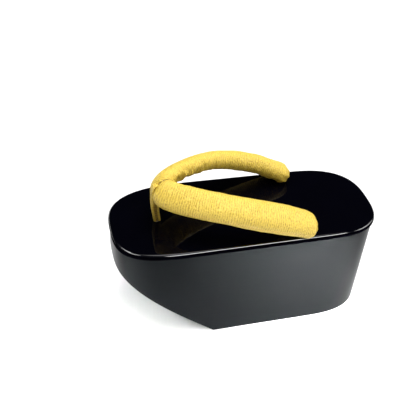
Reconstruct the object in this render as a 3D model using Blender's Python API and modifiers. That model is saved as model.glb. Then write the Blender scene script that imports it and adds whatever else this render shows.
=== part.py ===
"""A tall lacquered geta: a one-piece platform, a padded thong strap and its front loop.

Metres, +Z up. The origin is on the floor, under the middle of the deck, and the toe points to -Y.
The platform stands on its flat underside. The strap's two arms are joined at the front, where the
loop goes round the joint. Each arm and the loop end in a cord, which goes down through a hole in the
deck and is knotted under it.
"""

import math

import bmesh
import bpy
from mathutils import Matrix, Vector

# Deck and wall
DECK_LENGTH = 0.230
TOE_WIDTH = 0.0915
HEEL_WIDTH = 0.0895
TOE_ROUND = 0.077
HEEL_ROUND = 0.060
TOE_SQUARENESS = 3.15
HEEL_SQUARENESS = 2.8
TOE_DROP = 0.004
HEEL_DROP = 0.0025
HEIGHT = 0.100
RIM_HEIGHT = 0.005
RIM_STEP = 0.0012
RIM_ROUND = 0.002
FRONT_CUT_LENGTH = 0.0835
FRONT_CUT_ANGLE = math.radians(39.6)

# Hollow under the deck
DECK_THICKNESS = 0.014
WALL = 0.006
HOLLOW_ROUND = 0.004
HOLLOW_FRONT_ROUND = 0.025
HOLLOW_SQUARENESS = 2.6

# Holes, cords and knots
FRONT_HOLE_FROM_TOE = 0.039
REAR_HOLES_FROM_HEEL = 0.072
REAR_HOLE_SPREAD = 0.066
STRAP_CORD = 0.0045
LOOP_CORD = 0.0048
KNOT_WIDTH = 0.0085
KNOT_HEIGHT = 0.008
KNOT_POCKET_ROOM = 0.002
GAP = 0.0003

# Strap
STRAP_RISE = 0.032
STRAP_WIDTH = 0.025
STRAP_THICKNESS = 0.0155
STRAP_SQUARENESS = 2.3
NOSE_ROUND = 0.009
END_ROUND = 0.008
END_SQUARENESS = 2.4

# Front loop
LOOP_WIDTH = 0.008
LOOP_THICKNESS = 0.0022
LOOP_LEAN = 0.0058
LOOP_SQUARENESS = 4.0
LOOP_SEWN_TOP = 0.001

# One row for each section of the right arm, from the joint in front to the rear end.
# along: from the front hole (0) to the rear holes (1). out: share of the rear holes' distance from
# the middle. rise: share of STRAP_RISE above the deck. wide and thick: shares of STRAP_WIDTH and
# STRAP_THICKNESS. tilt: how far the broad side leans outward, in degrees.
ARM_SECTIONS = (
    # along, out, rise, wide, thick, tilt
    (0.013, -0.07, 0.935, 0.94, 0.96, 50),
    (0.062, 0.28, 0.985, 0.945, 0.96, 47),
    (0.165, 0.575, 1.00, 0.955, 0.955, 44),
    (0.295, 0.81, 0.98, 0.95, 0.97, 41),
    (0.439, 1.00, 0.925, 0.955, 1.00, 38),
    (0.612, 1.12, 0.775, 0.995, 1.075, 35),
    (0.79, 1.147, 0.565, 1.005, 1.085, 32),
    (0.922, 1.112, 0.355, 0.985, 1.07, 24),
    (1.003, 1.10, 0.21, 1.00, 1.04, 9),
    (1.048, 1.11, 0.11, 0.94, 1.00, 3),
)

# One row for each section of the loop, up its back leg, over the joint and down its front leg.
# back: share of LOOP_LEAN behind the front hole. rise: share of STRAP_RISE above the deck.
# wide and thick: shares of LOOP_WIDTH and LOOP_THICKNESS.
LOOP_SECTIONS = (
    # back, rise, wide, thick
    (0.26, 0.00, 0.50, 1.00),
    (0.20, 0.17, 0.80, 1.00),
    (0.02, 0.38, 1.00, 1.00),
    (0.02, 0.55, 0.69, 1.05),
    (0.36, 0.72, 0.34, 1.25),
    (0.50, 0.94, 0.32, 1.20),
    (0.28, 1.13, 0.36, 1.05),
    (-0.28, 1.16, 0.48, 1.00),
    (-0.64, 1.00, 0.78, 1.00),
    (-0.68, 0.80, 1.00, 1.00),
    (-0.68, 0.59, 1.00, 1.00),
    (-0.60, 0.39, 1.00, 1.00),
    (-0.42, 0.17, 0.80, 1.00),
    (-0.26, 0.00, 0.50, 1.00),
)

# Fineness of the solids
PLAN_STEPS = 14
ARM_STEPS = 4
ARM_SIDES = 20
CAP_STEPS = 4
LOOP_STEPS = 3
LOOP_SIDES = 12
HOLE_SIDES = 32
EGG_SIDES = 20
EGG_RINGS = 12

# Places worked out from the sizes
CREASE_Y = -DECK_LENGTH / 2 + FRONT_CUT_LENGTH
DECK_UNDERSIDE = HEIGHT - DECK_THICKNESS
FRONT_HOLE_Y = -DECK_LENGTH / 2 + FRONT_HOLE_FROM_TOE
REAR_HOLES_Y = DECK_LENGTH / 2 - REAR_HOLES_FROM_HEEL
BEYOND = 0.01


def clear_scene():
    for obj in list(bpy.data.objects):
        bpy.data.objects.remove(obj, do_unlink=True)


def new_collection(name):
    collection = bpy.data.collections.new(name)
    bpy.context.scene.collection.children.link(collection)
    return collection


def new_material(name, colour, roughness, metallic=0.0):
    material = bpy.data.materials.new(name)
    material.use_nodes = True
    shader = material.node_tree.nodes["Principled BSDF"]
    shader.inputs["Base Color"].default_value = (*colour, 1)
    shader.inputs["Roughness"].default_value = roughness
    shader.inputs["Metallic"].default_value = metallic
    return material


def mesh_object(name, mesh, collection):
    obj = bpy.data.objects.new(name, mesh)
    collection.objects.link(obj)
    return obj


def as_cutter(obj):
    obj.hide_render = True
    obj.display_type = "WIRE"
    return obj


def boolean(obj, operation, other):
    modifier = obj.modifiers.new(f"{operation.title()} {other.name}", "BOOLEAN")
    modifier.operation = operation
    modifier.object = other
    modifier.solver = "EXACT"


def rounded_quarter(squareness, steps):
    """Points of a squared quarter circle of radius 1, from (1, 0) to (0, 1)."""
    points = []
    for step in range(steps + 1):
        angle = math.pi / 2 * step / steps
        c, s = math.cos(angle), math.sin(angle)
        reach = (c**squareness + s**squareness) ** (-1 / squareness)
        points.append((reach * c, reach * s))
    return points


def half_width(y, inset):
    """Half the deck's width at y. It narrows in a straight line from toe to heel."""
    share = y / DECK_LENGTH + 0.5
    return (TOE_WIDTH + (HEEL_WIDTH - TOE_WIDTH) * share) / 2 - inset


def plan(front, back, front_round, back_round, front_squareness, back_squareness, inset=0.0):
    """A closed plan outline with straight sides and squared-round ends, as (x, y) points."""
    right = []
    for across, deep in reversed(rounded_quarter(front_squareness, PLAN_STEPS)):
        y = front + front_round * (1 - deep)
        right.append((half_width(y, inset) * across, y))
    for across, deep in rounded_quarter(back_squareness, PLAN_STEPS):
        y = back - back_round * (1 - deep)
        right.append((half_width(y, inset) * across, y))
    left = [(-x, y) for x, y in reversed(right[1:-1])]
    return right + left


def deck_plan(inset=0.0):
    return plan(
        -DECK_LENGTH / 2 + inset,
        DECK_LENGTH / 2 - inset,
        TOE_ROUND - inset,
        HEEL_ROUND - inset,
        TOE_SQUARENESS,
        HEEL_SQUARENESS,
        inset,
    )


def hollow_plan():
    inset = RIM_STEP + WALL
    return plan(
        CREASE_Y + WALL,
        DECK_LENGTH / 2 - inset,
        HOLLOW_FRONT_ROUND,
        HEEL_ROUND - inset,
        HOLLOW_SQUARENESS,
        HOLLOW_SQUARENESS,
        inset,
    )


def deck_height(y):
    """The deck's height at y. It is level in the middle and falls away towards both ends."""
    into_toe = max(0.0, TOE_ROUND - DECK_LENGTH / 2 - y) / TOE_ROUND
    into_heel = max(0.0, y + HEEL_ROUND - DECK_LENGTH / 2) / HEEL_ROUND
    return HEIGHT - TOE_DROP * into_toe**2 - HEEL_DROP * into_heel**2


def follow_deck(name, outline, bottom, depth, collection):
    """The outline from a level up to the deck, or to a depth under it.

    With no level the underside follows the deck too, RIM_HEIGHT below it. The outline is symmetric,
    so its curved faces are flat strips that run straight across.
    """
    mesh = bpy.data.meshes.new(name)
    build = bmesh.new()
    upper = [build.verts.new((x, y, deck_height(y) - depth)) for x, y in outline]
    if bottom is None:
        lower = [build.verts.new((x, y, deck_height(y) - RIM_HEIGHT)) for x, y in outline]
    else:
        lower = [build.verts.new((x, y, bottom)) for x, y in outline]
        build.faces.new(lower)
    count = len(outline)
    for index in range(count):
        after = (index + 1) % count
        build.faces.new((lower[index], lower[after], upper[after], upper[index]))
    for ring in [upper] if bottom is not None else [upper, lower]:
        for index in range(count // 2):
            corners = [ring[index], ring[index + 1], ring[count - 1 - index], ring[-index]]
            build.faces.new(list(dict.fromkeys(corners)))
    bmesh.ops.recalc_face_normals(build, faces=build.faces)
    build.to_mesh(mesh)
    build.free()
    return mesh_object(name, mesh, collection)


def upright_block(name, outline, bottom, top, collection):
    """The outline extruded between two heights."""
    curve = bpy.data.curves.new(name, "CURVE")
    curve.dimensions = "2D"
    curve.fill_mode = "BOTH"
    curve.extrude = (top - bottom) / 2
    spline = curve.splines.new("POLY")
    spline.points.add(len(outline) - 1)
    for point, (x, y) in zip(spline.points, outline):
        point.co = (x, y, 0, 1)
    spline.use_cyclic_u = True
    guide = mesh_object(f"{name} outline", curve, collection)
    bpy.context.view_layer.update()
    graph = bpy.context.evaluated_depsgraph_get()
    mesh = bpy.data.meshes.new_from_object(guide.evaluated_get(graph))
    bpy.data.objects.remove(guide, do_unlink=True)
    build = bmesh.new()
    build.from_mesh(mesh)
    bmesh.ops.remove_doubles(build, verts=build.verts, dist=0.00001)
    bmesh.ops.translate(build, verts=build.verts, vec=(0, 0, (top + bottom) / 2))
    bmesh.ops.recalc_face_normals(build, faces=build.faces)
    build.to_mesh(mesh)
    build.free()
    mesh.name = name
    return mesh_object(name, mesh, collection)


def round_edges(obj, width, segments):
    modifier = obj.modifiers.new("Rounded edges", "BEVEL")
    modifier.width = width
    modifier.segments = segments
    modifier.limit_method = "ANGLE"
    modifier.angle_limit = math.radians(40)


def upright_cylinder(name, radius, bottom, top, x, y, collection):
    mesh = bpy.data.meshes.new(name)
    build = bmesh.new()
    bmesh.ops.create_cone(
        build,
        cap_ends=True,
        segments=HOLE_SIDES,
        radius1=radius,
        radius2=radius,
        depth=top - bottom,
        matrix=Matrix.Translation((x, y, (top + bottom) / 2)),
    )
    build.to_mesh(mesh)
    build.free()
    return mesh_object(name, mesh, collection)


def egg(name, centre, sides, collection):
    """A rounded lump with the given sides across X, Y and Z."""
    mesh = bpy.data.meshes.new(name)
    build = bmesh.new()
    bmesh.ops.create_uvsphere(
        build,
        u_segments=EGG_SIDES,
        v_segments=EGG_RINGS,
        radius=0.5,
        matrix=Matrix.Translation(centre) @ Matrix.Diagonal((*sides, 1)),
    )
    build.to_mesh(mesh)
    build.free()
    return mesh_object(name, mesh, collection)


def knot(name, x, y, collection):
    """A knot's outer shape, tight up under the deck."""
    centre = (x, y, DECK_UNDERSIDE - GAP - KNOT_HEIGHT / 2)
    return egg(name, centre, (KNOT_WIDTH, KNOT_WIDTH, KNOT_HEIGHT), collection)


def smooth_path(rows, steps):
    """The rows and the ones between them, on a Catmull-Rom curve through every row."""
    rows = [Vector(row) for row in rows]
    first = 2 * rows[0] - rows[1]
    last = 2 * rows[-1] - rows[-2]
    rows = [first, *rows, last]
    points = []
    for index in range(1, len(rows) - 2):
        a, b, c, d = rows[index - 1 : index + 3]
        for step in range(steps):
            t = step / steps
            points.append(
                0.5 * (2 * b + (c - a) * t + (2 * a - 5 * b + 4 * c - d) * t**2 + (3 * b - a - 3 * c + d) * t**3)
            )
    points.append(rows[-2])
    return points


def section(centre, wide_axis, thick_axis, wide, thick, squareness, sides, turn=0.0):
    """A ring of points round the centre: a squared ellipse in the plane of the two axes.

    turn moves the ring's points on by that share of a side.
    """
    ring = []
    for side in range(sides):
        angle = 2 * math.pi * (side + turn) / sides
        c, s = math.cos(angle), math.sin(angle)
        across = math.copysign(abs(c) ** (2 / squareness), c) * wide / 2
        up = math.copysign(abs(s) ** (2 / squareness), s) * thick / 2
        ring.append(centre + wide_axis * across + thick_axis * up)
    return ring


def loft(name, rings, collection):
    """A closed skin through rings of equally many points."""
    mesh = bpy.data.meshes.new(name)
    build = bmesh.new()
    loops = [[build.verts.new(point) for point in ring] for ring in rings]
    for lower, upper in zip(loops, loops[1:]):
        for index in range(len(lower)):
            after = (index + 1) % len(lower)
            build.faces.new((lower[index], lower[after], upper[after], upper[index]))
    build.faces.new(loops[0])
    build.faces.new(loops[-1])
    bmesh.ops.recalc_face_normals(build, faces=build.faces)
    build.to_mesh(mesh)
    build.free()
    return mesh_object(name, mesh, collection)


def arm_rows():
    """The arm's sections in metres and degrees, with the in-between ones."""
    span = REAR_HOLES_Y - FRONT_HOLE_Y
    rows = []
    for along, out, rise, wide, thick, tilt in ARM_SECTIONS:
        x = out * REAR_HOLE_SPREAD / 2
        y = FRONT_HOLE_Y + along * span
        z = HEIGHT + rise * STRAP_RISE
        rows.append((x, y, z, wide * STRAP_WIDTH, thick * STRAP_THICKNESS, tilt))
    return smooth_path(rows, ARM_STEPS)


def rounded_ends(centres):
    """How far each section shrinks, so that both ends of the arm are rounded."""
    lengths = [0.0]
    for before, after in zip(centres, centres[1:]):
        lengths.append(lengths[-1] + (after - before).length)
    shares = []
    for length in lengths:
        nose = max(0.0, 1 - length / NOSE_ROUND)
        tail = max(0.0, 1 - (lengths[-1] - length) / END_ROUND)
        depth = min(0.998, max(nose, tail))
        shares.append((1 - depth**END_SQUARENESS) ** (1 / END_SQUARENESS))
    return shares


def with_headings(rows):
    """The rows, each followed by the direction of the path at its centre."""
    centres = [Vector(row[:3]) for row in rows]
    found = []
    for index, row in enumerate(rows):
        before = centres[max(index - 1, 0)]
        after = centres[min(index + 1, len(centres) - 1)]
        found.append(Vector((*row, *(after - before).normalized())))
    return found


def with_cap_sections(rows):
    """The rows, with more of them where the two ends are rounded."""
    centres = [Vector(row[:3]) for row in rows]
    lengths = [0.0]
    for before, after in zip(centres, centres[1:]):
        lengths.append(lengths[-1] + (after - before).length)
    total = lengths[-1]
    wanted = [length for length in lengths if NOSE_ROUND < length < total - END_ROUND]
    for step in range(CAP_STEPS + 1):
        bend = math.cos(math.pi / 2 * step / CAP_STEPS)
        wanted.append(NOSE_ROUND * (1 - bend))
        wanted.append(total - END_ROUND * (1 - bend))
    found = []
    for length in sorted(wanted):
        index = max(i for i in range(len(lengths) - 1) if lengths[i] <= length + 1e-9)
        share = (length - lengths[index]) / (lengths[index + 1] - lengths[index])
        found.append(rows[index].lerp(rows[index + 1], min(1.0, share)))
    return found


def arm_rings(side):
    """The sections of the arm on one side: 1 is the right arm and -1 is the left one.

    The left arm's points sit half a side further on, so that no two faces of the arms coincide
    where they cross in the middle.
    """
    turn = 0.0 if side > 0 else 0.5
    rows = with_cap_sections(with_headings(arm_rows()))
    centres = [Vector(row[:3]) for row in rows]
    shrink = rounded_ends(centres)
    rings = []
    for index, row in enumerate(rows):
        ahead = Vector(row[6:9]).normalized()
        outward = Vector((ahead.y, -ahead.x, 0)).normalized()
        upward = outward.cross(ahead)
        tilt = math.radians(row[5])
        wide_axis = outward * math.cos(tilt) - upward * math.sin(tilt)
        thick_axis = outward * math.sin(tilt) + upward * math.cos(tilt)
        wide = row[3] * shrink[index]
        thick = row[4] * shrink[index]
        ring = section(
            centres[index], wide_axis, thick_axis, wide, thick, STRAP_SQUARENESS, ARM_SIDES, turn
        )
        rings.append([Vector((side * point.x, point.y, point.z)) for point in ring])
    return rings


def loop_rings(clearance=0.0):
    """The loop's sections, each grown all round by the clearance."""
    rows = []
    for back, rise, wide, thick in LOOP_SECTIONS:
        y = FRONT_HOLE_Y + back * LOOP_LEAN
        z = HEIGHT + rise * STRAP_RISE
        rows.append((y, z, wide * LOOP_WIDTH, thick * LOOP_THICKNESS))
    rows = smooth_path(rows, LOOP_STEPS)
    across = Vector((1, 0, 0))
    rings = []
    for index, row in enumerate(rows):
        before = rows[max(index - 1, 0)]
        after = rows[min(index + 1, len(rows) - 1)]
        ahead = Vector((0, after[0] - before[0], after[1] - before[1])).normalized()
        wide = row[2] + 2 * clearance
        thick = row[3] + 2 * clearance
        centre = Vector((0, row[0], row[1]))
        rings.append(
            section(centre, across, across.cross(ahead), wide, thick, LOOP_SQUARENESS, LOOP_SIDES)
        )
    return rings


def front_cutter(collection):
    """A block whose upper face is the slanted underside in front of the crease."""
    length = 2 * DECK_LENGTH
    width = TOE_WIDTH + 2 * BEYOND
    depth = HEIGHT
    bpy.ops.mesh.primitive_cube_add(size=1)
    obj = bpy.context.object
    obj.name = "front cut"
    for holder in list(obj.users_collection):
        holder.objects.unlink(obj)
    collection.objects.link(obj)
    turn = Matrix.Rotation(-FRONT_CUT_ANGLE, 4, "X")
    place = Matrix.Translation((0, CREASE_Y, 0)) @ turn @ Matrix.Translation((0, 0, -depth / 2))
    obj.data.transform(place @ Matrix.Diagonal((width, length, depth, 1)))
    return obj


def make_platform(parts, cutters, material):
    """One carved block with a rim, a slanted front, a hollow, three holes and a knot pocket."""
    block = follow_deck("platform", deck_plan(RIM_STEP), 0, RIM_HEIGHT / 2, parts)
    rim = as_cutter(follow_deck("rim", deck_plan(), None, 0, cutters))
    round_edges(rim, RIM_ROUND, 4)
    boolean(block, "UNION", rim)
    boolean(block, "DIFFERENCE", as_cutter(front_cutter(cutters)))
    hollow = upright_block("hollow", hollow_plan(), -BEYOND, DECK_UNDERSIDE, cutters)
    round_edges(hollow, HOLLOW_ROUND, 3)
    boolean(block, "DIFFERENCE", as_cutter(hollow))
    pocket_radius = KNOT_WIDTH / 2 + KNOT_POCKET_ROOM
    pocket = upright_cylinder(
        "knot pocket", pocket_radius, -BEYOND, DECK_UNDERSIDE, 0, FRONT_HOLE_Y, cutters
    )
    boolean(block, "DIFFERENCE", as_cutter(pocket))
    holes = (
        ("front hole", LOOP_CORD, 0, FRONT_HOLE_Y),
        ("right rear hole", STRAP_CORD, REAR_HOLE_SPREAD / 2, REAR_HOLES_Y),
        ("left rear hole", STRAP_CORD, -REAR_HOLE_SPREAD / 2, REAR_HOLES_Y),
    )
    for name, cord, x, y in holes:
        radius = cord / 2 + GAP
        bottom = DECK_UNDERSIDE - BEYOND
        hole = upright_cylinder(name, radius, bottom, HEIGHT + BEYOND, x, y, cutters)
        boolean(block, "DIFFERENCE", as_cutter(hole))
    block.data.materials.append(material)
    return block


def make_strap(parts, cutters, material):
    """Two padded arms joined at the front, each with its cord and knot."""
    strap = loft("strap", arm_rings(1), parts)
    boolean(strap, "UNION", as_cutter(loft("left arm", arm_rings(-1), cutters)))
    boolean(strap, "DIFFERENCE", as_cutter(loft("loop room", loop_rings(GAP), cutters)))
    seat = upright_block(
        "deck room", deck_plan(-BEYOND), DECK_UNDERSIDE, HEIGHT + GAP, cutters
    )
    boolean(strap, "DIFFERENCE", as_cutter(seat))
    for side, name in ((1, "right"), (-1, "left")):
        x = side * REAR_HOLE_SPREAD / 2
        bottom = DECK_UNDERSIDE - GAP - KNOT_HEIGHT / 2
        top = HEIGHT + STRAP_THICKNESS / 2
        cord = upright_cylinder(
            f"{name} cord", STRAP_CORD / 2, bottom, top, x, REAR_HOLES_Y, cutters
        )
        boolean(strap, "UNION", as_cutter(cord))
        boolean(strap, "UNION", as_cutter(knot(f"{name} knot", x, REAR_HOLES_Y, cutters)))
    strap.data.materials.append(material)
    return strap


def make_front_loop(parts, cutters, material):
    """A folded tube round the joint of the arms, with its cord and knot."""
    loop = loft("front_loop", loop_rings(), parts)
    bottom = DECK_UNDERSIDE - GAP - KNOT_HEIGHT / 2
    top = HEIGHT + LOOP_SECTIONS[0][1] * STRAP_RISE + LOOP_SEWN_TOP
    cord = upright_cylinder("loop cord", LOOP_CORD / 2, bottom, top, 0, FRONT_HOLE_Y, cutters)
    boolean(loop, "UNION", as_cutter(cord))
    boolean(loop, "UNION", as_cutter(knot("loop knot", 0, FRONT_HOLE_Y, cutters)))
    loop.data.materials.append(material)
    return loop


def main():
    clear_scene()
    parts = new_collection("Tall geta")
    cutters = new_collection("Cutters")
    lacquer = new_material("Black lacquer", (0.006, 0.006, 0.008), 0.08)
    cloth = new_material("Yellow cloth", (0.86, 0.62, 0.10), 0.85)
    platform = make_platform(parts, cutters, lacquer)
    strap = make_strap(parts, cutters, cloth)
    loop = make_front_loop(parts, cutters, cloth)
    stand = bpy.data.objects.new("Geta", None)
    parts.objects.link(stand)
    for obj in (platform, strap, loop):
        obj.parent = stand
        obj.data.shade_smooth()
        obj.data.set_sharp_from_angle(angle=math.radians(35))


main()
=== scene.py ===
"""The looks of a tall lacquered geta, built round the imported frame: lacquer, padded cloth, cords and light.

Metres, +Z up, in the row's frame: the toe points to -Y and the shoe stands on Z = 0.
"""

import math

import bmesh
import bpy
from mathutils import Matrix, Vector, noise


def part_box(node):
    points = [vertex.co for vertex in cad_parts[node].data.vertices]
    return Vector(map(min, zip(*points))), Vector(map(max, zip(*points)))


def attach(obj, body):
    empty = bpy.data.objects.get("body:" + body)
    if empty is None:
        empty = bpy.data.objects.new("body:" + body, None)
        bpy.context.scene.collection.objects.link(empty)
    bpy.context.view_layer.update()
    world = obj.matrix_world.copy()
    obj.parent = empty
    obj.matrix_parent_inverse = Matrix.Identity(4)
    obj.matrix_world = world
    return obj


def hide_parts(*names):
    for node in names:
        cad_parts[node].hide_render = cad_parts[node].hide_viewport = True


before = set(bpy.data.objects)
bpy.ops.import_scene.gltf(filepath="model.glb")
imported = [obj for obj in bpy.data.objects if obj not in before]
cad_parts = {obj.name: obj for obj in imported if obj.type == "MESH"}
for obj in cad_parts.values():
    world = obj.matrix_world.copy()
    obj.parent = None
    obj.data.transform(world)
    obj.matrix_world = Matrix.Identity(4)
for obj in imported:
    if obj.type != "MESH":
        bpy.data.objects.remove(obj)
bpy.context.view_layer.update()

# Platform, with its length and height from the frame
PLATFORM_LOW, PLATFORM_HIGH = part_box("platform")
DECK_LENGTH = PLATFORM_HIGH.y - PLATFORM_LOW.y
HEIGHT = PLATFORM_HIGH.z
TOE_WIDTH = 0.0915
HEEL_WIDTH = 0.0895
TOE_ROUND = 0.077
HEEL_ROUND = 0.060
TOE_SQUARENESS = 3.15
HEEL_SQUARENESS = 2.8
TOE_DROP = 0.004
HEEL_DROP = 0.0025
RIM_HEIGHT = 0.005
RIM_STEP = 0.0012
RIM_TOP_ROUND = 0.0024
RIM_LOW_ROUND = 0.0012
RIM_SLACK = 0.0001
FOOT_ROUND = 0.0010
FLAT_MARGIN = 0.0006
FRONT_CUT_LENGTH = 0.0835
FRONT_CUT_ANGLE = math.radians(39.6)
DECK_THICKNESS = 0.014
WALL = 0.006
HOLLOW_FRONT_ROUND = 0.025
HOLLOW_SQUARENESS = 2.6
HOLLOW_ROUND = 0.004

# A rim face whose normal rises more steeply than these belongs to the deck or to its edge
DECK_FACING = 0.88
EDGE_FACING = 0.6

# Faces that meet at a larger angle keep a sharp edge
SHARP_ANGLE = math.radians(32)

# Holes, cords and knots
FRONT_HOLE_FROM_TOE = 0.039
REAR_HOLES_FROM_HEEL = 0.072
REAR_HOLE_SPREAD = 0.066
STRAP_HOLE_WIDTH = 0.0051
LOOP_HOLE_WIDTH = 0.0054
CORD_WIDTH = 0.0022
KNOT_WIDTH = 0.0085
KNOT_POCKET_WIDTH = 0.0125
CORD_TAIL = 0.011

# A cord starts this far below the deck's top, runs straight to this far above the deck's underside, and
# its knot hangs this far below it
CORD_TOP_DEPTH = 0.0015
CORD_LEAD = 0.003
KNOT_GAP = 0.001

# The knot is drawn in units of its own size: its ring's radius, its outer radius and how far its
# crossings stand apart. It leaves a share of the turn open at the top, where the cord goes in and out.
KNOT_RING = 2
KNOT_OUTER = KNOT_RING + 1
KNOT_LIFT = 1.25
KNOT_OPENING = 0.03

# How far the tail's middle and its end stray sideways and backward
TAIL_MIDDLE_STRAY = (0.0012, 0.001)
TAIL_END_STRAY = (0.0030, 0.003)

# Where a cord's two strands lie and how thick they are, as shares of CORD_WIDTH
STRAND_OFFSET = 0.25
STRAND_RADIUS = 0.27

# Strap
STRAP_RISE = 0.032
STRAP_WIDTH = 0.025
STRAP_THICKNESS = 0.0155
STRAP_SQUARENESS = 2.3
STRAP_GIRTH = 0.065
NOSE_ROUND = 0.009
END_ROUND = 0.008
END_SQUARENESS = 2.4
END_DEEPEST = 0.998
STRAP_SEAT = 0.0002

# The middle of the joint: how far behind the front hole, and its share of STRAP_RISE
HEART_BACK = 0.003
HEART_RISE = 0.85

# Front loop
LOOP_WIDTH = 0.008
LOOP_THICKNESS = 0.0018
LOOP_LEAN = 0.0058
LOOP_WEB = 0.0012

# The loop's bands across their width: the hem begins, reaches its full thickness and rounds off at these
# shares of the half width. Between the hems the band has a share of their thickness.
HEM_START = 0.45
HEM_FULL = 0.65
HEM_ROUND = 0.7
BAND_WAIST = 0.5

# Small unevenness of the bands and of the fold between them
GATHER_REACH = 0.006
GATHER_TURN = 2.1
GATHER_DEPTH = 0.00018
BAND_LUMPS = 400
BAND_LUMP_DEPTH = 0.0001
WEB_TAPER = 0.5
CRIMP_ALONG = 1.7
CRIMP_ACROSS = 6
CRIMP_DEPTH = 0.00015

# Folds in the cloth. Angles run round the arm from its outer lower edge. FOLD_REST is the share of the
# folds that is left away from their middle.
FOLD_SIDE = math.radians(235)
FOLD_SPREAD = math.radians(48)
FOLD_STEP = 0.0032
FOLD_DEPTH = 0.0013
FOLD_MIDDLE = 0.030
FOLD_REACH = 0.026
FOLD_REST = 0.35
FOLD_TURN = 1.2
FOLD_ACROSS = 60
CREASE_WIDTH = 0.0018
CREASE_DEPTH = 0.0006
CREASE_CUT = 0.0016
# Faces this close to the middle take the darker crepe as painted shade along the crease, and the arm is also
# cut here
CREASE_LIP = 0.0005
PUCKER_OUT = 0.0026
PUCKER_SPREAD = 0.0022
PUCKER_LOWEST = 0.8
PUCKER_STEP = 0.0036
PUCKER_DRIFT = 2
PUCKER_DRIFT_LUMPS = 200
PUCKER_DEPTH = 0.00012
END_PLEATS = 9
END_PLEATS_TURN = 1.0
END_PLEATS_REACH = 0.010

# Unevenness of the padding. Lumps are counted per metre, and depths are in metres.
LUMPS = 90
LUMP_DEPTH = 0.0003
FINE_LUMPS = 260
FINE_LUMP_DEPTH = 0.00012

# The crepe's ridges: distance from one to the next, height, and how far they wander
CREPE_STEP = 0.0018
CREPE_DEPTH = 0.00008
CREPE_DRIFT = 0.0014
CREPE_DRIFT_LUMPS = 150

# Along a cord, from one turn of its strands to the next
CORD_LAY = 0.0052

# Places worked out from the sizes
CREASE_Y = -DECK_LENGTH / 2 + FRONT_CUT_LENGTH
FRONT_HOLE_Y = -DECK_LENGTH / 2 + FRONT_HOLE_FROM_TOE
REAR_HOLES_Y = DECK_LENGTH / 2 - REAR_HOLES_FROM_HEEL
DECK_UNDERSIDE = HEIGHT - DECK_THICKNESS
BEYOND = 0.01

# Fineness of the meshes
PLAN_STEPS = 40
SIDE_STEPS = 24
ROUND_STEPS = 5
TOP_ROUND_STEPS = 8
ARM_STEPS = 40
ARM_SIDES = 84
CAP_STEPS = 16
HOLE_SIDES = 48
KNOT_STEPS = 26
CORD_STEPS = 4
STRAND_SIDES = 8
BAND_STEPS = 20
BAND_ROWS = 6
WEB_RINGS = 22
WEB_SIDES = 16

# Steps of the UV map on cords and on the fold between the loop's bands
STRAND_UV_STEP = 0.0008
WEB_UV_STEP = 0.0005
WEB_UV_RING = 0.0008

# Closer than these counts as the same place, as lying on the middle plane, or as the same length
SAME_PLACE = 1e-6
ON_MIDDLE = 1e-7
SAME_LENGTH = 1e-9

# Places of the materials on the platform, and on the strap and the loop
DECK, SATIN, MATT, EDGE, RIM = range(5)
# The third is a darker crepe that paints shade into the strap's crease and into the fold between the loop's
# bands
CLOTH, HEMP, SHADE_PAINTED = range(3)

# One row for each section of the right arm, from the joint in front to the rear end.
# along: from the front hole (0) to the rear holes (1). out: share of the rear holes' distance from
# the middle. rise: share of STRAP_RISE above the deck. wide and thick: shares of STRAP_WIDTH and
# STRAP_THICKNESS. tilt: how far the broad side leans outward, in degrees.
ARM_SECTIONS = (
    # along, out, rise, wide, thick, tilt
    (0.013, -0.07, 0.935, 0.94, 0.96, 50),
    (0.062, 0.28, 0.985, 0.945, 0.96, 47),
    (0.165, 0.575, 1.00, 0.955, 0.955, 44),
    (0.295, 0.81, 0.98, 0.95, 0.97, 41),
    (0.439, 1.00, 0.925, 0.955, 1.00, 38),
    (0.612, 1.12, 0.775, 0.995, 1.075, 35),
    (0.79, 1.147, 0.565, 1.005, 1.085, 32),
    (0.922, 1.112, 0.355, 0.985, 1.07, 24),
    (1.003, 1.10, 0.21, 1.00, 1.04, 9),
    (1.048, 1.11, 0.11, 0.94, 1.00, 3),
)

# One row for each section of the loop's front band, from the front hole over the joint into the crease.
# back: share of LOOP_LEAN behind the front hole. rise: share of STRAP_RISE above the deck.
# wide: share of LOOP_WIDTH.
FRONT_BAND = (
    # back, rise, wide
    (-0.30, -0.05, 0.44),
    (-0.46, 0.12, 0.60),
    (-0.64, 0.30, 0.80),
    (-0.76, 0.50, 0.96),
    (-0.79, 0.72, 1.00),
    (-0.80, 0.92, 0.94),
    (-0.64, 1.06, 0.78),
    (-0.25, 1.105, 0.56),
    (0.25, 1.05, 0.40),
    (0.65, 0.92, 0.34),
)

# The loop's back band, from the front hole up into the joint, with the same columns
BACK_BAND = (
    # back, rise, wide
    (0.36, -0.05, 0.44),
    (0.24, 0.12, 0.60),
    (0.10, 0.30, 0.78),
    (0.04, 0.46, 0.72),
    (0.10, 0.66, 0.50),
)

# The camera, solved from the edges of the deck, the walls and the strap in the photograph
CAMERA_AZIMUTH = math.radians(73.13)
CAMERA_ELEVATION = math.radians(39.53)
CAMERA_ROLL = math.radians(4.61)
CAMERA_DISTANCE = 0.65429
CAMERA_ACROSS = -0.03170
CAMERA_UP = 0.08433
CAMERA_SENSOR = 36
CAMERA_LENS = 62.45
CAMERA_NEAR = 0.01

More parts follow.
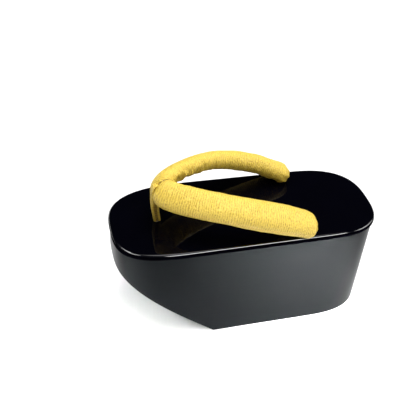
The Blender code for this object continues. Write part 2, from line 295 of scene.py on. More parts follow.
# Lacquer. Each pair of colours or roughnesses goes from one end of the noise to the other. Scales count
# the noise's bumps per metre along X, Y and Z, and the other lengths are in metres.
NOISE_RANGE = (0.3, 0.7)
POLISHED_COLOURS = ((0.0004, 0.0004, 0.0012), (0.0008, 0.0008, 0.0022))
POLISHED_ROUGHNESS = (0.03, 0.055)
POLISHED_CLOUD = (40, 40, 40)
POLISHED_RIPPLE = (90, 90, 90)
POLISHED_RIPPLE_DEPTH = 0.00003
DECK_GLOSS = 0.15
EDGE_GLOSS = 1.0
EDGE_DENSITY = 2.0
RIM_GLOSS = 0.0
SATIN_COLOURS = ((0.0010, 0.0016, 0.0022), (0.0018, 0.0026, 0.0034))
SATIN_ROUGHNESS = (0.31, 0.36)
SATIN_GLOSS = 0.06
SATIN_TINT = (0.80, 0.93, 1.0)
SATIN_GRAIN = (260, 18, 900)
SATIN_GRAIN_DEPTH = 0.00002
SATIN_CLOUD = (25, 25, 25)
MATT_COLOURS = ((0.010, 0.010, 0.010), (0.022, 0.020, 0.018))
MATT_ROUGHNESS = (0.45, 0.62)
MATT_GRAIN = (500, 14, 500)
MATT_GRAIN_DEPTH = 0.00008

# Cloth and cord. Colours go from the valleys to the crests. On the crepe the darker valley colour is painted
# shade, laid into the hollows of the weave by the same height that drives its bump.
CLOTH_COLOURS = ((0.47, 0.25, 0.002), (0.81, 0.585, 0.064))
# A darker copy of the crepe, painted shade for the crease and for the loop's fold
SHADE_PAINTED_COLOURS = ((0.20, 0.110, 0.004), (0.46, 0.29, 0.02))
CLOTH_ROUGHNESS = 0.5
CLOTH_GLOSS = 0.9
CLOTH_BUMP = 0.0007
CLOTH_CLOUD = (60, 60, 60)
CLOTH_CLOUD_RANGE = (0.35, 0.65)
CLOTH_FADE = 0.22
CREPE_GRAIN = (900, 700, 1)
CREPE_GRAIN_RANGE = (0.32, 0.68)
CREPE_RIDGE_SHARE = 0.45
CREPE_GRAIN_SHARE = 0.55
# The weave's heights that run from the painted-shade valley colour to the crest colour
CREPE_COLOUR_RANGE = (0.10, 0.52)
HEMP_COLOURS = ((0.42, 0.33, 0.20), (0.72, 0.62, 0.44))
HEMP_ROUGHNESS = 0.9
HEMP_FIBRES = (900, 900, 900)
HEMP_BUMP = 0.0002

# From one band of a wave texture to the next, at scale 1
WAVE_STEP = 0.314

# Floor, world and sun
FLOOR_SIZE = 12
FLOOR_COLOUR = (0.92, 0.92, 0.92)
WORLD_COLOUR = (0.012, 0.012, 0.014)
SUN_POWER = 1.3
SUN_ANGLE = math.radians(35)
SUN_HEADING = (0.1, -0.12, -1)

# One row for each lamp. It stands at its place and faces its target. size: length and width.
# spread: in degrees. mirrored: whether it shows in the lacquer. The narrow ones light only the floor
# beside the shoe, which the walls mirror.
LAMPS = (
    # name, place, target, size, power, spread, mirrored
    ("overhead", (-0.1, 0.1, 1.25), (0, 0, 0.08), (0.8, 1.1), 16, 180, True),
    ("camera side", (0.80, 0.30, 0.90), (0, 0.03, 0.06), (1.06, 0.32), 4.6, 180, True),
    ("toe side", (-0.15, -0.62, 0.95), (0, -0.08, 0.1), (1.0, 0.34), 2.6, 180, True),
    ("heel side", (0.15, 0.95, 0.48), (0, 0.08, 0.1), (0.8, 0.36), 1.6, 180, True),
    ("floor at the heel", (0.36, 0.40, 0.42), (0.15, 0.10, 0), (0.08, 0.08), 1.02, 22, False),
    ("floor at the toe", (0.30, -0.50, 0.22), (0.09, -0.19, 0), (0.06, 0.06), 0.2, 22, False),
)


def new_material(name):
    """A new material, its node tree's nodes and links, and its shader."""
    material = bpy.data.materials.new(name)
    material.use_nodes = True
    tree = material.node_tree
    return material, tree.nodes, tree.links, tree.nodes["Principled BSDF"]


def scaled_place(nodes, links, scale, uv=False):
    """Object coordinates, or the UV map in metres, stretched by the scale."""
    place = nodes.new("ShaderNodeTexCoord")
    mapping = nodes.new("ShaderNodeMapping")
    mapping.inputs["Scale"].default_value = scale
    links.new(place.outputs["UV" if uv else "Object"], mapping.inputs["Vector"])
    return mapping.outputs["Vector"]


def noise_value(nodes, links, place, detail, roughness=0.5):
    """Noise at the place, which carries the scale."""
    made = nodes.new("ShaderNodeTexNoise")
    made.inputs["Scale"].default_value = 1.0
    made.inputs["Detail"].default_value = detail
    made.inputs["Roughness"].default_value = roughness
    links.new(place, made.inputs["Vector"])
    return made.outputs["Fac"]


def ranged(nodes, links, value, low, high, to_low, to_high):
    """The value, moved from one range to another."""
    made = nodes.new("ShaderNodeMapRange")
    made.inputs["From Min"].default_value = low
    made.inputs["From Max"].default_value = high
    made.inputs["To Min"].default_value = to_low
    made.inputs["To Max"].default_value = to_high
    links.new(value, made.inputs["Value"])
    return made.outputs["Result"]


def mixed(nodes, links, share, first, second):
    """A colour between two others. Each is a colour or a socket."""
    made = nodes.new("ShaderNodeMix")
    made.data_type = "RGBA"
    links.new(share, made.inputs["Factor"])
    for socket, colour in ((made.inputs[6], first), (made.inputs[7], second)):
        if isinstance(colour, tuple):
            socket.default_value = (*colour, 1)
        else:
            links.new(colour, socket)
    return made.outputs[2]


def bumped(nodes, links, shader, height, distance):
    """Gives the shader a bump. A height of 1 stands the distance out, in metres."""
    made = nodes.new("ShaderNodeBump")
    made.inputs["Distance"].default_value = distance
    links.new(height, made.inputs["Height"])
    links.new(made.outputs["Normal"], shader.inputs["Normal"])


def polished_lacquer(name, gloss, density=1.5):
    """Polished black lacquer with the faintest unevenness.

    gloss is the strength of its reflections and density its index of refraction.
    """
    material, nodes, links, shader = new_material(name)
    cloud = noise_value(nodes, links, scaled_place(nodes, links, POLISHED_CLOUD), 3)
    roughness = ranged(nodes, links, cloud, *NOISE_RANGE, *POLISHED_ROUGHNESS)
    links.new(roughness, shader.inputs["Roughness"])
    links.new(mixed(nodes, links, cloud, *POLISHED_COLOURS), shader.inputs["Base Color"])
    shader.inputs["Specular IOR Level"].default_value = gloss
    shader.inputs["IOR"].default_value = density
    ripple = noise_value(nodes, links, scaled_place(nodes, links, POLISHED_RIPPLE), 1)
    bumped(nodes, links, shader, ripple, POLISHED_RIPPLE_DEPTH)
    return material


def satin_lacquer():
    """The walls: black lacquer rubbed to a satin, with the wood's grain just showing."""
    material, nodes, links, shader = new_material("satin lacquer")
    grain = noise_value(nodes, links, scaled_place(nodes, links, SATIN_GRAIN), 3, 0.6)
    cloud = noise_value(nodes, links, scaled_place(nodes, links, SATIN_CLOUD), 3)
    roughness = ranged(nodes, links, cloud, *NOISE_RANGE, *SATIN_ROUGHNESS)
    links.new(roughness, shader.inputs["Roughness"])
    links.new(mixed(nodes, links, grain, *SATIN_COLOURS), shader.inputs["Base Color"])
    shader.inputs["Specular IOR Level"].default_value = SATIN_GLOSS
    shader.inputs["Specular Tint"].default_value = (*SATIN_TINT, 1)
    bumped(nodes, links, shader, grain, SATIN_GRAIN_DEPTH)
    return material


def matt_lacquer():
    """Underside and hollow: one thin coat over the wood."""
    material, nodes, links, shader = new_material("matt lacquer")
    grain = noise_value(nodes, links, scaled_place(nodes, links, MATT_GRAIN), 4, 0.6)
    roughness = ranged(nodes, links, grain, *NOISE_RANGE, *MATT_ROUGHNESS)
    links.new(roughness, shader.inputs["Roughness"])
    links.new(mixed(nodes, links, grain, *MATT_COLOURS), shader.inputs["Base Color"])
    bumped(nodes, links, shader, grain, MATT_GRAIN_DEPTH)
    return material


def crepe_cloth(name, valley_shade, crest):
    """Thick crepe: wavy ridges across the strap, broken into small grains. Its colour darkens towards the
    hollows as painted shade.
    """
    material, nodes, links, shader = new_material(name)
    place = scaled_place(nodes, links, (1, 1, 1), True)
    ridges = nodes.new("ShaderNodeTexWave")
    ridges.inputs["Scale"].default_value = WAVE_STEP / CREPE_STEP
    ridges.inputs["Distortion"].default_value = 5.0
    ridges.inputs["Detail"].default_value = 2.0
    ridges.inputs["Detail Scale"].default_value = 1.3
    links.new(place, ridges.inputs["Vector"])
    grains = noise_value(nodes, links, scaled_place(nodes, links, CREPE_GRAIN, True), 2, 0.6)
    cloud = noise_value(nodes, links, scaled_place(nodes, links, CLOTH_CLOUD), 3)
    height = nodes.new("ShaderNodeMath")
    height.operation = "ADD"
    ridge_height = ranged(nodes, links, ridges.outputs["Fac"], 0, 1, 0, CREPE_RIDGE_SHARE)
    grain_height = ranged(nodes, links, grains, *CREPE_GRAIN_RANGE, 0, CREPE_GRAIN_SHARE)
    links.new(ridge_height, height.inputs[0])
    links.new(grain_height, height.inputs[1])
    # Painted shade: the lower the weave, the nearer its colour comes to the dark valley colour
    depth = ranged(nodes, links, height.outputs["Value"], *CREPE_COLOUR_RANGE, 0, 1)
    shaded_weave = mixed(nodes, links, depth, valley_shade, crest)
    fade = ranged(nodes, links, cloud, *CLOTH_CLOUD_RANGE, 0, CLOTH_FADE)
    links.new(mixed(nodes, links, fade, shaded_weave, crest), shader.inputs["Base Color"])
    shader.inputs["Roughness"].default_value = CLOTH_ROUGHNESS
    shader.inputs["Specular IOR Level"].default_value = CLOTH_GLOSS
    bumped(nodes, links, shader, height.outputs["Value"], CLOTH_BUMP)
    return material


def hemp_cord():
    """The undyed cord that ties the strap under the deck."""
    material, nodes, links, shader = new_material("hemp cord")
    fibres = noise_value(nodes, links, scaled_place(nodes, links, HEMP_FIBRES), 4, 0.7)
    links.new(mixed(nodes, links, fibres, *HEMP_COLOURS), shader.inputs["Base Color"])
    shader.inputs["Roughness"].default_value = HEMP_ROUGHNESS
    bumped(nodes, links, shader, fibres, HEMP_BUMP)
    return material


def rounded_quarter(squareness, steps):
    """Points of a squared quarter circle of radius 1, from (1, 0) to (0, 1)."""
    points = []
    for step in range(steps + 1):
        angle = math.pi / 2 * step / steps
        c, s = math.cos(angle), math.sin(angle)
        reach = (c**squareness + s**squareness) ** (-1 / squareness)
        points.append((reach * c, reach * s))
    return points


def half_width(y, inset):
    """Half the deck's width at y. It narrows in a straight line from toe to heel."""
    share = y / DECK_LENGTH + 0.5
    return (TOE_WIDTH + (HEEL_WIDTH - TOE_WIDTH) * share) / 2 - inset


def plan(front, back, front_round, back_round, squareness, inset, breaks=()):
    """A closed plan outline with long straight sides and squared-round ends, as (x, y) points.

    squareness holds the front's and the back's. The straight sides have a point at each break.
    """
    right = []
    for across, deep in reversed(rounded_quarter(squareness[0], PLAN_STEPS)):
        y = front + front_round * (1 - deep)
        right.append((half_width(y, inset) * across, y))
    start = front + front_round
    end = back - back_round
    places = [start + (end - start) * step / SIDE_STEPS for step in range(1, SIDE_STEPS)]
    for place in sorted([*places, *breaks]):
        right.append((half_width(place, inset), place))
    for across, deep in rounded_quarter(squareness[1], PLAN_STEPS):
        y = back - back_round * (1 - deep)
        right.append((half_width(y, inset) * across, y))
    left = [(-x, y) for x, y in reversed(right[1:-1])]
    return right + left


def deck_plan(inset):
    """The deck's outline, moved inward by the inset."""
    return plan(
        -DECK_LENGTH / 2 + inset,
        DECK_LENGTH / 2 - inset,
        TOE_ROUND - inset,
        HEEL_ROUND - inset,
        (TOE_SQUARENESS, HEEL_SQUARENESS),
        inset,
        (CREASE_Y,),
    )


def hollow_plan(inset):
    """The hollow's outline, moved inward by the inset."""
    margin = RIM_STEP + WALL + inset
    return plan(
        CREASE_Y + WALL + inset,
        DECK_LENGTH / 2 - margin,
        HOLLOW_FRONT_ROUND - inset,
        HEEL_ROUND - margin,
        (HOLLOW_SQUARENESS, HOLLOW_SQUARENESS),
        margin,
    )


def deck_height(y):
    """The deck's height at y. It is level in the middle and falls away towards both ends."""
    into_toe = max(0.0, TOE_ROUND - DECK_LENGTH / 2 - y) / TOE_ROUND
    into_heel = max(0.0, y + HEEL_ROUND - DECK_LENGTH / 2) / HEEL_ROUND
    return HEIGHT - TOE_DROP * into_toe**2 - HEEL_DROP * into_heel**2


def quarter_turn(steps):
    """Pairs of (inward, onward) shares round a quarter circle, from (0, 0) to (1, 1)."""
    turns = [math.pi / 2 * step / steps for step in range(steps + 1)]
    return [(1 - math.cos(turn), math.sin(turn)) for turn in turns]


def underside_height(y):
    """Height of the underside at y: flat behind the crease, and rising in front of it."""
    return max(0.0, (CREASE_Y - y) * math.tan(FRONT_CUT_ANGLE))


def ring_faces(build, lower, upper):
    """Joins two rings of as many vertices with faces."""
    for index in range(len(lower)):
        after = (index + 1) % len(lower)
        build.faces.new((lower[index], lower[after], upper[after], upper[index]))


def mesh_piece(name, build, *materials):
    """The bmesh as a named, smooth object in the scene."""
    mesh = bpy.data.meshes.new(name)
    build.to_mesh(mesh)
    build.free()
    for material in materials:
        mesh.materials.append(material)
    mesh.shade_smooth()
    piece = bpy.data.objects.new(name, mesh)
    bpy.context.scene.collection.objects.link(piece)
    return piece


def platform_body():
    """The carved block before its hollow and holes are cut."""
    build = bmesh.new()
    underside = [(RIM_STEP + FOOT_ROUND + FLAT_MARGIN, 0.0)]
    for inward, onward in quarter_turn(ROUND_STEPS):
        underside.append((RIM_STEP + FOOT_ROUND * (1 - onward), FOOT_ROUND * inward))
    rim = [(RIM_STEP, RIM_HEIGHT)]
    for inward, onward in quarter_turn(ROUND_STEPS):
        rim.append((RIM_LOW_ROUND * (1 - onward), RIM_HEIGHT - RIM_LOW_ROUND * inward))
    for inward, onward in quarter_turn(TOP_ROUND_STEPS):
        rim.append((RIM_TOP_ROUND * inward, RIM_TOP_ROUND * (1 - onward)))
    rim.append((RIM_TOP_ROUND + FLAT_MARGIN, 0.0))
    loops = []
    for inset, above in underside:
        points = [(x, y, underside_height(y) + above) for x, y in deck_plan(inset)]
        loops.append([build.verts.new(point) for point in points])
    for inset, below in rim:
        points = [(x, y, deck_height(y) - below) for x, y in deck_plan(inset)]
        loops.append([build.verts.new(point) for point in points])
    for lower, upper in zip(loops, loops[1:]):
        ring_faces(build, lower, upper)
    deck = loops[-1]
    for index in range(len(deck) // 2):
        corners = [deck[index], deck[index + 1], deck[len(deck) - 1 - index], deck[-index]]
        build.faces.new(list(dict.fromkeys(corners)))
    bottom = loops[0]
    crease = [index for index, vert in enumerate(bottom) if abs(vert.co.y - CREASE_Y) < SAME_PLACE]
    build.faces.new(reversed(bottom[crease[0] : crease[1] + 1]))
    build.faces.new(reversed(bottom[crease[1] :] + bottom[: crease[0] + 1]))
    return build


def hollow_cutter():
    """The hollow's shape, with a rounded top edge."""
    build = bmesh.new()
    rings = [(0.0, -BEYOND), (0.0, DECK_UNDERSIDE - HOLLOW_ROUND)]
    for inward, onward in quarter_turn(ROUND_STEPS)[1:]:
        rings.append((HOLLOW_ROUND * inward, DECK_UNDERSIDE - HOLLOW_ROUND * (1 - onward)))
    loops = [
        [build.verts.new((x, y, z)) for x, y in hollow_plan(inset)] for inset, z in rings
    ]
    for lower, upper in zip(loops, loops[1:]):
        ring_faces(build, lower, upper)
    build.faces.new(reversed(loops[0]))
    build.faces.new(loops[-1])
    return build


def drill(radius, bottom, top, x, y):
    """An upright cylinder, to be cut out."""
    build = bmesh.new()
    bmesh.ops.create_cone(
        build,
        cap_ends=True,
        segments=HOLE_SIDES,
        radius1=radius,
        radius2=radius,
        depth=top - bottom,
        matrix=Matrix.Translation((x, y, (top + bottom) / 2)),
    )
    return build


def evaluated(piece):
    """The piece's mesh with its modifiers applied."""
    bpy.context.view_layer.update()
    graph = bpy.context.evaluated_depsgraph_get()
    return bpy.data.meshes.new_from_object(piece.evaluated_get(graph))


def cut_away(piece, cutters):
    """Cuts each cutter out of the piece and deletes it."""
    made = [mesh_piece(f"cutter_{index}", build) for index, build in enumerate(cutters)]
    for cutter in made:
        modifier = piece.modifiers.new(cutter.name, "BOOLEAN")
        modifier.operation = "DIFFERENCE"
        modifier.object = cutter
        modifier.solver = "EXACT"
    mesh = evaluated(piece)
    piece.modifiers.clear()
    piece.data = mesh
    for cutter in made:
        bpy.data.objects.remove(cutter, do_unlink=True)


def is_inside_wall(x, y, z):
    """Whether a point under the deck lies further in than the middle of the wall."""
    if z > deck_height(y) - FLAT_MARGIN:
        return False
    inset = RIM_STEP + WALL / 2
    rounded, squareness = (TOE_ROUND, TOE_SQUARENESS) if y < 0 else (HEEL_ROUND, HEEL_SQUARENESS)
    deep = (abs(y) - (DECK_LENGTH / 2 - rounded)) / (rounded - inset)
    deep = min(1.0, max(0.0, deep))
    return abs(x) < half_width(y, inset) * (1 - deep**squareness) ** (1 / squareness)


def lacquer_at(face):
    """The place of the platform's material that a face has."""
    x, y, z = face.center
    inside = is_inside_wall(x, y, z)
    if deck_height(y) - z <= RIM_HEIGHT + RIM_SLACK and not inside:
        if face.normal.z > DECK_FACING:
            return DECK
        return EDGE if face.normal.z > EDGE_FACING else RIM
    in_hollow = inside and abs(z - underside_height(y)) > FOOT_ROUND
    return MATT if in_hollow or z < SAME_PLACE else SATIN


def make_platform():
    """One block of lacquered wood: polished above, satin on its walls and matt underneath."""
    materials = (
        polished_lacquer("deck lacquer", DECK_GLOSS),
        satin_lacquer(),
        matt_lacquer(),
        polished_lacquer("edge lacquer", EDGE_GLOSS, EDGE_DENSITY),
        polished_lacquer("rim lacquer", RIM_GLOSS),
    )
    piece = mesh_piece("lacquered_platform", platform_body(), *materials)
    drills = [
        drill(KNOT_POCKET_WIDTH / 2, -BEYOND, DECK_UNDERSIDE, 0, FRONT_HOLE_Y),
        drill(LOOP_HOLE_WIDTH / 2, 0, HEIGHT + BEYOND, 0, FRONT_HOLE_Y),
    ]
    for side in (1, -1):
        x = side * REAR_HOLE_SPREAD / 2
        drills.append(drill(STRAP_HOLE_WIDTH / 2, 0, HEIGHT + BEYOND, x, REAR_HOLES_Y))
    cut_away(piece, [hollow_cutter(), *drills])
    for face in piece.data.polygons:
        face.material_index = lacquer_at(face)
    piece.data.shade_smooth()
    piece.data.set_sharp_from_angle(angle=SHARP_ANGLE)
    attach(piece, "root")
    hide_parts("platform")


def smooth_path(rows, steps):
    """The rows and the ones between them, on a Catmull-Rom curve through every row."""
    rows = [Vector(row) for row in rows]
    rows = [2 * rows[0] - rows[1], *rows, 2 * rows[-1] - rows[-2]]
    points = []
    for index in range(1, len(rows) - 2):
        a, b, c, d = rows[index - 1 : index + 3]
        for step in range(steps):
            t = step / steps
            straight = 2 * b + (c - a) * t
            bent = (2 * a - 5 * b + 4 * c - d) * t**2 + (3 * b - a - 3 * c + d) * t**3
            points.append(0.5 * (straight + bent))
    points.append(rows[-2])
    return points


def lengths_along(points):
    """The path's length up to each point."""
    lengths = [0.0]
    for before, after in zip(points, points[1:]):
        lengths.append(lengths[-1] + (after - before).length)
    return lengths


def headings(points):
    """The path's direction at each point."""
    found = []
    for index in range(len(points)):
        before = points[max(index - 1, 0)]
        after = points[min(index + 1, len(points) - 1)]
        found.append((after - before).normalized())
    return found


def arm_rows():
    """The arm's sections as centre, width, thickness, tilt and heading, closely spaced at both ends."""
    span = REAR_HOLES_Y - FRONT_HOLE_Y
    rows = []
    for along, out, rise, wide, thick, tilt in ARM_SECTIONS:
        x = out * REAR_HOLE_SPREAD / 2
        y = FRONT_HOLE_Y + along * span
        z = HEIGHT + rise * STRAP_RISE
        rows.append((x, y, z, wide * STRAP_WIDTH, thick * STRAP_THICKNESS, tilt))
    rows = smooth_path(rows, ARM_STEPS)
    centres = [Vector(row[:3]) for row in rows]
    rows = [Vector((*row, *ahead)) for row, ahead in zip(rows, headings(centres))]
    lengths = lengths_along(centres)
    total = lengths[-1]
    wanted = [length for length in lengths if NOSE_ROUND < length < total - END_ROUND]
    for step in range(CAP_STEPS + 1):
        bend = math.cos(math.pi / 2 * step / CAP_STEPS)
        wanted.append(NOSE_ROUND * (1 - bend))
        wanted.append(total - END_ROUND * (1 - bend))
    found = []
    for length in sorted(wanted):
        index = max(i for i in range(len(lengths) - 1) if lengths[i] <= length + SAME_LENGTH)
        share = (length - lengths[index]) / (lengths[index + 1] - lengths[index])
        found.append((length, rows[index].lerp(rows[index + 1], min(1.0, share))))
    return found, total


def cap_share(length, total):
    """How far a section shrinks near a rounded end."""
    nose = max(0.0, 1 - length / NOSE_ROUND)
    tail = max(0.0, 1 - (total - length) / END_ROUND)
    depth = min(END_DEEPEST, max(nose, tail))
    return (1 - depth**END_SQUARENESS) ** (1 / END_SQUARENESS)


def arm_point(row, angle, shrink):
    """A point on the arm's skin and the way out of it, at an angle round the section."""
    ahead = Vector(row[6:9]).normalized()
    outward = Vector((ahead.y, -ahead.x, 0)).normalized()
    upward = outward.cross(ahead)
    tilt = math.radians(row[5])
    wide_axis = outward * math.cos(tilt) - upward * math.sin(tilt)
    thick_axis = outward * math.sin(tilt) + upward * math.cos(tilt)
    c, s = math.cos(angle), math.sin(angle)
    across = math.copysign(abs(c) ** (2 / STRAP_SQUARENESS), c) * row[3] * shrink / 2
    up = math.copysign(abs(s) ** (2 / STRAP_SQUARENESS), s) * row[4] * shrink / 2
    place = Vector(row[:3]) + wide_axis * across + thick_axis * up
    return place, (wide_axis * c + thick_axis * s).normalized()


def bell(value, middle, spread):
    """1 at the middle, falling smoothly to nothing on both sides."""
    return math.exp(-(((value - middle) / spread) ** 2))


def fold_height(point, length, total, angle):
    """How far the cloth stands out of the padding's smooth shape, in metres."""
    lump = noise.noise(point * LUMPS) * LUMP_DEPTH + noise.noise(point * FINE_LUMPS) * FINE_LUMP_DEPTH
    drifted = length + noise.noise(point * CREPE_DRIFT_LUMPS) * CREPE_DRIFT
    ridge = math.sin(2 * math.pi * drifted / CREPE_STEP) * CREPE_DEPTH
    turned = (angle - FOLD_SIDE + math.pi) % (2 * math.pi) - math.pi
    inner_side = bell(turned, 0, FOLD_SPREAD)
    reach = FOLD_REST + (1 - FOLD_REST) * bell(length, FOLD_MIDDLE, FOLD_REACH)
    waves = noise.noise(Vector((length / FOLD_STEP, turned * FOLD_TURN, point.x * FOLD_ACROSS))) * 2
    folds = waves * inner_side * reach * FOLD_DEPTH
    beside = bell(abs(point.x), PUCKER_OUT, PUCKER_SPREAD)
    if point.z <= HEIGHT + PUCKER_LOWEST * STRAP_RISE:
        beside = 0
    pucker_turn = 2 * math.pi * point.y / PUCKER_STEP
    pucker_turn += noise.noise(point * PUCKER_DRIFT_LUMPS) * PUCKER_DRIFT
    puckers = math.sin(pucker_turn) * beside * PUCKER_DEPTH
    crease = bell(point.x, 0, CREASE_WIDTH) * CREASE_DEPTH
    near_end = max(0.0, 1 - (total - length) / END_PLEATS_REACH)
    pleat_share = near_end * (FOLD_REST + (1 - FOLD_REST) * inner_side)
    pleats = math.sin(END_PLEATS * angle + END_PLEATS_TURN) * pleat_share * FOLD_DEPTH
    return lump + ridge + folds + puckers - crease + pleats


def skin(build, uv, rings, places, girth_step, material_index=CLOTH):
    """Faces between rings of points, with the UV map in metres along and round."""
    made = [[build.verts.new(point) for point in ring] for ring in rings]
    count = len(rings[0])
    for index in range(len(made) - 1):
        lower, upper = made[index], made[index + 1]
        for side in range(count):
            after = (side + 1) % count
            face = build.faces.new((lower[side], lower[after], upper[after], upper[side]))
            face.material_index = material_index
            corners = ((index, side), (index, side + 1), (index + 1, side + 1), (index + 1, side))
            for loop, (ring_index, around) in zip(face.loops, corners):
                loop[uv].uv = (places[ring_index], around * girth_step)
    for ring in (made[0], made[-1]):
        build.faces.new(ring).material_index = material_index
    return made


def make_strap(cloth, hemp, shaded_crepe):
    """The padded upper: two cloth arms that meet in a crease at the front, and their knotted cords."""
    build = bmesh.new()
    uv = build.loops.layers.uv.new("metres")
    rows, total = arm_rows()
    rings = []
    for length, row in rows:
        ring = []
        for side in range(ARM_SIDES):
            angle = 2 * math.pi * side / ARM_SIDES
            shrink = cap_share(length, total)
            point, outward = arm_point(row, angle, shrink)
            ring.append(point + outward * fold_height(point, length, total, angle) * shrink)
        rings.append(ring)
    skin(build, uv, rings, [row[0] for row in rows], STRAP_GIRTH / ARM_SIDES)
    bmesh.ops.recalc_face_normals(build, faces=build.faces)
    join_twin(build)
    heart = Vector((0, FRONT_HOLE_Y + HEART_BACK, HEIGHT + HEART_RISE * STRAP_RISE))
    for vert in build.verts:
        if abs(vert.co.x) < ON_MIDDLE:
            vert.co += (heart - vert.co).normalized() * CREASE_CUT
    # Painted shade: the faces along the crease take the darker crepe, which draws the crease as a dark line
    for face in build.faces:
        if abs(face.calc_center_median().x) < CREASE_LIP:
            face.material_index = SHADE_PAINTED
    for vert in build.verts:
        vert.co.z = max(vert.co.z, HEIGHT + STRAP_SEAT)
    for side in (1, -1):
        knotted_cord(build, uv, side * REAR_HOLE_SPREAD / 2, REAR_HOLES_Y, side)
    piece = mesh_piece("padded_strap", build, cloth, hemp, shaded_crepe)
    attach(piece, "root")
    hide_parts("strap")


def knotted_cord(build, uv, x, y, hand):
    """Two twisted strands that come down through the deck, make an overhand knot and end in a tail."""
    size = (KNOT_WIDTH - CORD_WIDTH) / 2 / KNOT_OUTER
    half_knot = KNOT_OUTER * size
    middle = Vector((x, y, DECK_UNDERSIDE - KNOT_GAP - half_knot - CORD_WIDTH / 2))
    path = [Vector((x, y, HEIGHT - CORD_TOP_DEPTH)), Vector((x, y, DECK_UNDERSIDE + CORD_LEAD))]
    for step in range(KNOT_STEPS + 1):
        turn = 2 * math.pi * (KNOT_OPENING + (1 - 2 * KNOT_OPENING) * step / KNOT_STEPS)
        reach = KNOT_RING + math.cos(3 * turn)
        across = hand * reach * math.sin(2 * turn)
        spot = Vector((across, math.sin(3 * turn) * KNOT_LIFT, reach * math.cos(2 * turn)))
        path.append(middle + spot * size)
    for share, (sideways, backward) in ((0.5, TAIL_MIDDLE_STRAY), (1, TAIL_END_STRAY)):
        path.append(middle + Vector((hand * sideways, backward, -half_knot - CORD_TAIL * share)))
    path = smooth_path(path, CORD_STEPS)
    lengths = lengths_along(path)
    ahead = headings(path)
    side_axis = ahead[0].orthogonal().normalized()
    sides = []
    for heading in ahead:
        side_axis = (side_axis - heading * side_axis.dot(heading)).normalized()
        sides.append(side_axis.copy())
    for strand in (0, 1):
        rings = []
        for point, length, heading, side in zip(path, lengths, ahead, sides):
            turn = 2 * math.pi * (length / CORD_LAY + strand / 2)
            other = heading.cross(side)
            out = side * math.cos(turn) + other * math.sin(turn)
            centre = point + out * CORD_WIDTH * STRAND_OFFSET
            ring = []
            for corner in range(STRAND_SIDES):
                angle = 2 * math.pi * corner / STRAND_SIDES
                out = side * math.cos(angle) + other * math.sin(angle)
                ring.append(centre + out * CORD_WIDTH * STRAND_RADIUS)
            rings.append(ring)
        skin(build, uv, rings, lengths, STRAND_UV_STEP, HEMP)


def band_ring(y, z, ahead, wide):
    """A ring round the loop's band: a flat strip with a thick hem along each edge."""
    outward = Vector((0, -ahead.z, ahead.y))
    ring = []
    for face in (1, -1):
        for step in range(BAND_STEPS):
            share = face * (1 - 2 * step / BAND_STEPS)
            hem = min(1.0, max(0.0, (abs(share) - HEM_START) / (HEM_FULL - HEM_START)))
            into_round = max(0.0, (abs(share) - HEM_ROUND) / (1 - HEM_ROUND))
            edge = math.sqrt(max(0.0, 1 - into_round**2))
            depth = LOOP_THICKNESS / 2 * (BAND_WAIST + (1 - BAND_WAIST) * hem) * edge
            ring.append(Vector((share * wide / 2, y, z)) + outward * depth * face)
    return ring


def band_path(rows):
    """The band's sections as y, z and width, closely spaced."""
    places = []
    for back, rise, wide in rows:
        y = FRONT_HOLE_Y + back * LOOP_LEAN
        places.append((y, HEIGHT + rise * STRAP_RISE, wide * LOOP_WIDTH))
    return smooth_path(places, BAND_ROWS)


def make_loop(cloth, hemp, shaded_crepe):
    """The narrow folded loop: two hemmed bands with a fold between them, and its knotted cord."""
    build = bmesh.new()
    uv = build.loops.layers.uv.new("metres")
    for rows in (FRONT_BAND, BACK_BAND):
        path = band_path(rows)
        centres = [Vector((0, row[0], row[1])) for row in path]
        lengths = lengths_along(centres)
        rings = []
        for row, ahead, length in zip(path, headings(centres), lengths):
            ring = band_ring(row[0], row[1], ahead, row[2])
            gather = bell(row[1], HEIGHT, GATHER_REACH)
            for index, point in enumerate(ring):
                ripple = math.sin(index * GATHER_TURN) * GATHER_DEPTH * gather
                lump = noise.noise(point * BAND_LUMPS) * BAND_LUMP_DEPTH
                ring[index] = point + Vector((0, ripple, lump))
            rings.append(ring)
        skin(build, uv, rings, lengths, LOOP_WIDTH / BAND_STEPS)
    front, back = band_path(FRONT_BAND), band_path(BACK_BAND)
    # The fold between the bands takes the darker crepe, painted shade for its recess
    rings = []
    for index in range(WEB_RINGS):
        first, second = front[index], back[index]
        ring = []
        half = LOOP_WEB / 2 * (1 - WEB_TAPER * index / WEB_RINGS)
        for corner in range(WEB_SIDES):
            angle = 2 * math.pi * corner / WEB_SIDES
            share = 0.5 + 0.5 * math.cos(angle)
            y = first[0] + (second[0] - first[0]) * share
            z = first[1] + (second[1] - first[1]) * share
            crimp = math.sin(index * CRIMP_ALONG + share * CRIMP_ACROSS) * CRIMP_DEPTH
            ring.append(Vector((math.sin(angle) * (half + crimp), y, z)))
        rings.append(ring)
    places = [index * WEB_UV_RING for index in range(WEB_RINGS)]
    skin(build, uv, rings, places, WEB_UV_STEP, SHADE_PAINTED)
    knotted_cord(build, uv, 0, FRONT_HOLE_Y, 1)
    bmesh.ops.recalc_face_normals(build, faces=build.faces)
    piece = mesh_piece("folded_loop", build, cloth, hemp, shaded_crepe)
    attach(piece, "root")
    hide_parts("front_loop")


def join_twin(build):
    """Keeps the half at X above 0, cut at the crease's lip, and joins its mirror image to it."""
    for x, cut_off in ((CREASE_LIP, False), (0, True)):
        everything = [*build.verts, *build.edges, *build.faces]
        bmesh.ops.bisect_plane(
            build,
            geom=everything,
            plane_co=(x, 0, 0),
            plane_no=(1, 0, 0),
            clear_inner=cut_off,
        )
    everything = [*build.verts, *build.edges, *build.faces]
    twin = bmesh.ops.duplicate(build, geom=everything)["geom"]
    for element in twin:
        if isinstance(element, bmesh.types.BMVert):
            element.co.x = -element.co.x
    bmesh.ops.reverse_faces(build, faces=[e for e in twin if isinstance(e, bmesh.types.BMFace)])
    middle = [vert for vert in build.verts if abs(vert.co.x) < ON_MIDDLE]
    bmesh.ops.remove_doubles(build, verts=middle, dist=SAME_PLACE)


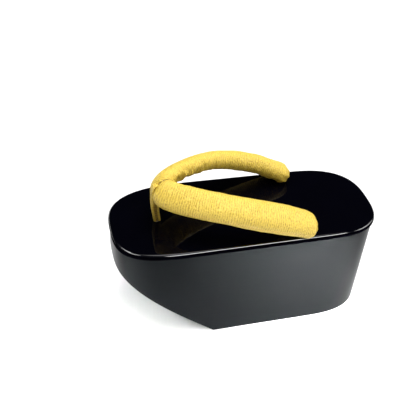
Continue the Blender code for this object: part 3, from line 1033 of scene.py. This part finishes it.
def make_camera():
    """The camera, turned round the shoe's middle and moved across and up in its own picture."""
    back = Vector((
        math.sin(CAMERA_AZIMUTH) * math.cos(CAMERA_ELEVATION),
        -math.cos(CAMERA_AZIMUTH) * math.cos(CAMERA_ELEVATION),
        math.sin(CAMERA_ELEVATION),
    ))
    level = Vector((math.cos(CAMERA_AZIMUTH), math.sin(CAMERA_AZIMUTH), 0))
    upright = back.cross(level)
    right = level * math.cos(CAMERA_ROLL) + upright * math.sin(CAMERA_ROLL)
    up = upright * math.cos(CAMERA_ROLL) - level * math.sin(CAMERA_ROLL)
    lens = bpy.data.cameras.new("camera")
    lens.sensor_width = CAMERA_SENSOR
    lens.lens = CAMERA_LENS
    lens.clip_start = CAMERA_NEAR
    camera = bpy.data.objects.new("camera", lens)
    bpy.context.scene.collection.objects.link(camera)
    place = back * CAMERA_DISTANCE + right * CAMERA_ACROSS + up * CAMERA_UP
    camera.matrix_world = Matrix.Translation(place) @ Matrix((right, up, back)).transposed().to_4x4()
    bpy.context.scene.camera = camera


def area_light(name, place, target, size, power, spread, mirrored):
    """A lamp with the values of one row of LAMPS."""
    light = bpy.data.lights.new(name, "AREA")
    light.shape = "RECTANGLE"
    light.size, light.size_y = size
    light.energy = power
    light.spread = math.radians(spread)
    lamp = bpy.data.objects.new(name, light)
    bpy.context.scene.collection.objects.link(lamp)
    lamp.location = place
    lamp.rotation_euler = (Vector(target) - Vector(place)).to_track_quat("-Z", "Y").to_euler()
    lamp.visible_glossy = mirrored


def make_studio():
    """A plain pale floor, a dim world, a soft sun and the lamps."""
    bpy.ops.mesh.primitive_plane_add(size=FLOOR_SIZE)
    floor = bpy.context.object
    floor.name = "floor"
    material, _, _, shader = new_material("pale floor")
    shader.inputs["Base Color"].default_value = (*FLOOR_COLOUR, 1)
    shader.inputs["Roughness"].default_value = 1.0
    shader.inputs["Specular IOR Level"].default_value = 0.0
    floor.data.materials.append(material)
    world = bpy.data.worlds.new("studio")
    world.use_nodes = True
    world.node_tree.nodes["Background"].inputs["Color"].default_value = (*WORLD_COLOUR, 1)
    bpy.context.scene.world = world
    daylight = bpy.data.lights.new("daylight", "SUN")
    daylight.energy = SUN_POWER
    daylight.angle = SUN_ANGLE
    lamp = bpy.data.objects.new("daylight", daylight)
    bpy.context.scene.collection.objects.link(lamp)
    lamp.rotation_euler = Vector(SUN_HEADING).to_track_quat("-Z", "Y").to_euler()
    for row in LAMPS:
        area_light(*row)
    bpy.context.scene.view_settings.view_transform = "Standard"


make_camera()
make_studio()
make_platform()
cloth = crepe_cloth("yellow crepe", *CLOTH_COLOURS)
# The darker crepe is painted shade, for the crease and the loop's fold
shaded_crepe = crepe_cloth("yellow crepe darkened as painted shade", *SHADE_PAINTED_COLOURS)
hemp = hemp_cord()
make_strap(cloth, hemp, shaded_crepe)
make_loop(cloth, hemp, shaded_crepe)
